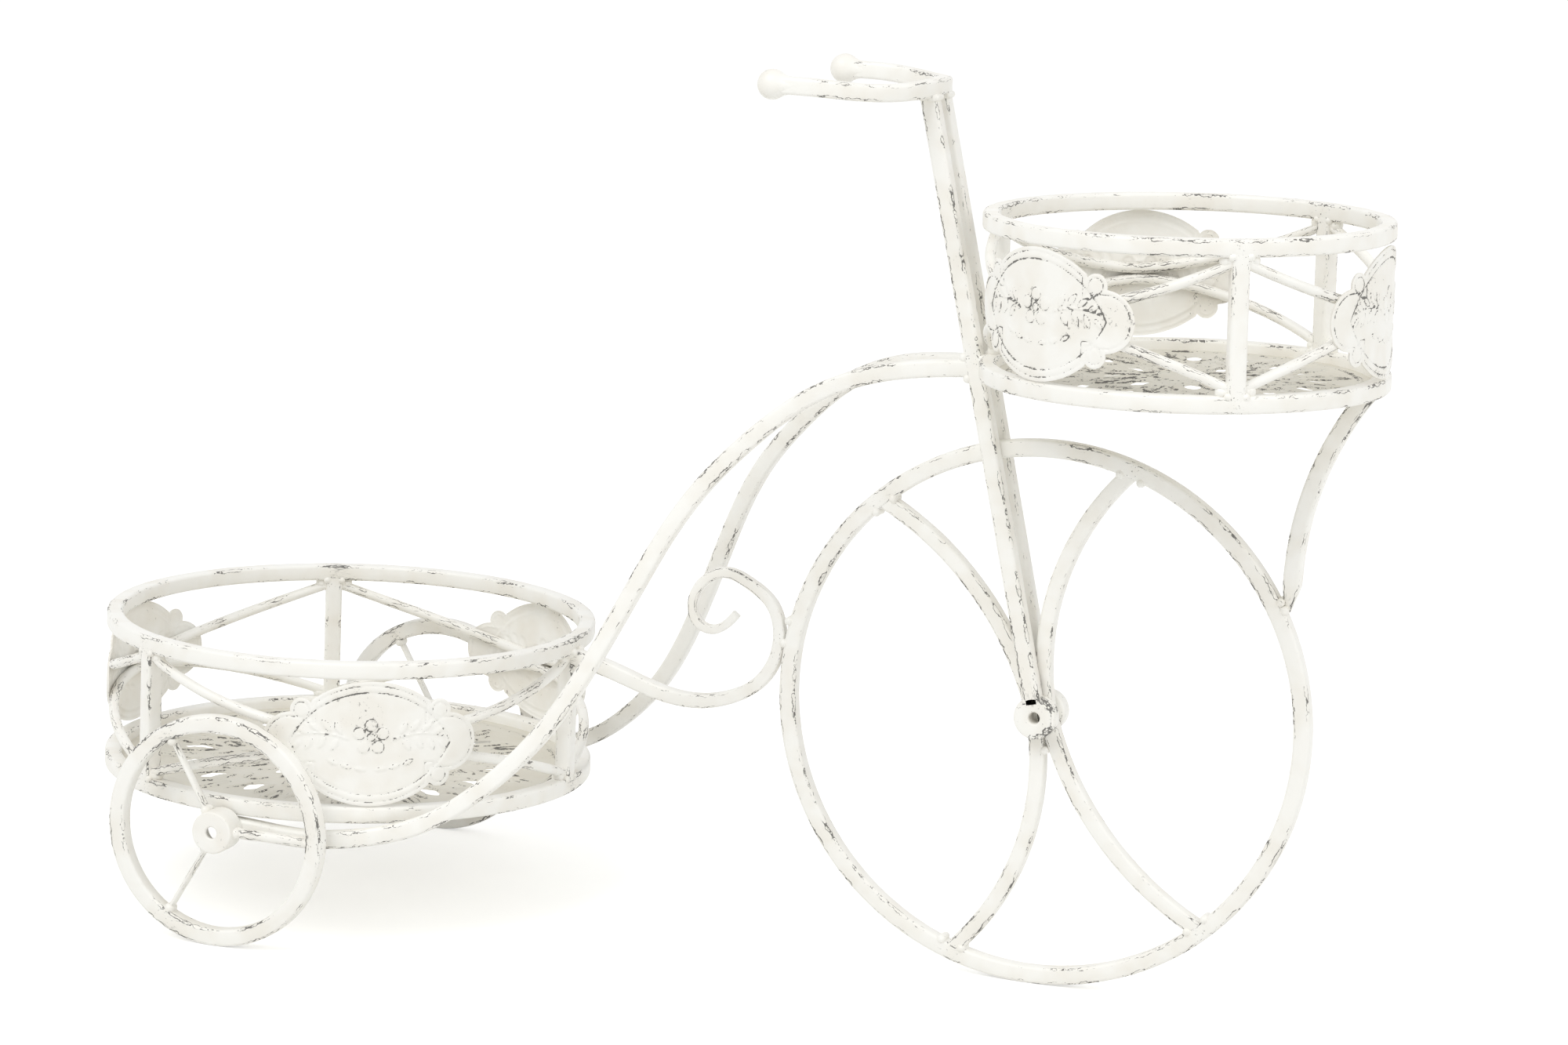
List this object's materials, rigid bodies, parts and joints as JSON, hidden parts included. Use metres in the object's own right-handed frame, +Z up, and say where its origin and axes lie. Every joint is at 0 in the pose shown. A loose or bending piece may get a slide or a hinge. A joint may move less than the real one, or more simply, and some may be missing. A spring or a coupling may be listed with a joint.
{
  "type": "bicycle plant stand",
  "caption": "Tricycle-shaped metal plant stand with a large front wheel, small rear wheels and two round openwork baskets for flower pots.",
  "frame": {"origin": "on the ground, in the middle of the stand's length and width", "axes": "+X to the front, towards the large wheel; +Y to the stand's left; +Z up"},
  "size_m": [0.7756, 0.33, 0.5252],
  "materials": {
    "painted_bar": "worn antique white paint on iron bar",
    "painted_grip": "worn antique white paint on iron balls",
    "painted_plaque": "worn antique white paint on pressed sheet",
    "painted_floor": "worn antique white paint on pierced sheet"
  },
  "bodies": {
    "root": {"front_rim": "painted_bar", "front_spoke_front": "painted_bar", "front_spoke_rear": "painted_bar", "fork_blade_right": "painted_bar", "fork_blade_left": "painted_bar", "front_hub_disc_right": "painted_bar", "front_hub_disc_left": "painted_bar", "handlebar": "painted_bar", "grip_right": "painted_grip", "grip_left": "painted_grip", "rear_rim_right": "painted_bar", "rear_rim_left": "painted_bar", "rear_hub_right": "painted_bar", "rear_hub_left": "painted_bar", "rear_spoke_right_1": "painted_bar", "rear_spoke_right_2": "painted_bar", "rear_spoke_right_3": "painted_bar", "rear_spoke_left_1": "painted_bar", "rear_spoke_left_2": "painted_bar", "rear_spoke_left_3": "painted_bar", "rail_right": "painted_bar", "rail_left": "painted_bar", "rail_stub_right": "painted_bar", "rail_stub_left": "painted_bar", "scroll": "painted_bar", "basket_arm": "painted_bar", "rear_basket_bottom_ring": "painted_bar", "rear_basket_top_ring": "painted_bar", "rear_basket_floor": "painted_floor", "rear_basket_post_1": "painted_bar", "rear_basket_upper_brace_1": "painted_bar", "rear_basket_lower_brace_1": "painted_bar", "rear_basket_plaque_1": "painted_plaque", "rear_basket_post_2": "painted_bar", "rear_basket_upper_brace_2": "painted_bar", "rear_basket_lower_brace_2": "painted_bar", "rear_basket_plaque_2": "painted_plaque", "rear_basket_post_3": "painted_bar", "rear_basket_upper_brace_3": "painted_bar", "rear_basket_lower_brace_3": "painted_bar", "rear_basket_plaque_3": "painted_plaque", "front_basket_bottom_ring": "painted_bar", "front_basket_top_ring": "painted_bar", "front_basket_floor": "painted_floor", "front_basket_post_1": "painted_bar", "front_basket_upper_brace_1": "painted_bar", "front_basket_lower_brace_1": "painted_bar", "front_basket_plaque_1": "painted_plaque", "front_basket_post_2": "painted_bar", "front_basket_upper_brace_2": "painted_bar", "front_basket_lower_brace_2": "painted_bar", "front_basket_plaque_2": "painted_plaque", "front_basket_post_3": "painted_bar", "front_basket_upper_brace_3": "painted_bar", "front_basket_lower_brace_3": "painted_bar", "front_basket_plaque_3": "painted_plaque"}
  },
  "joints": []
}
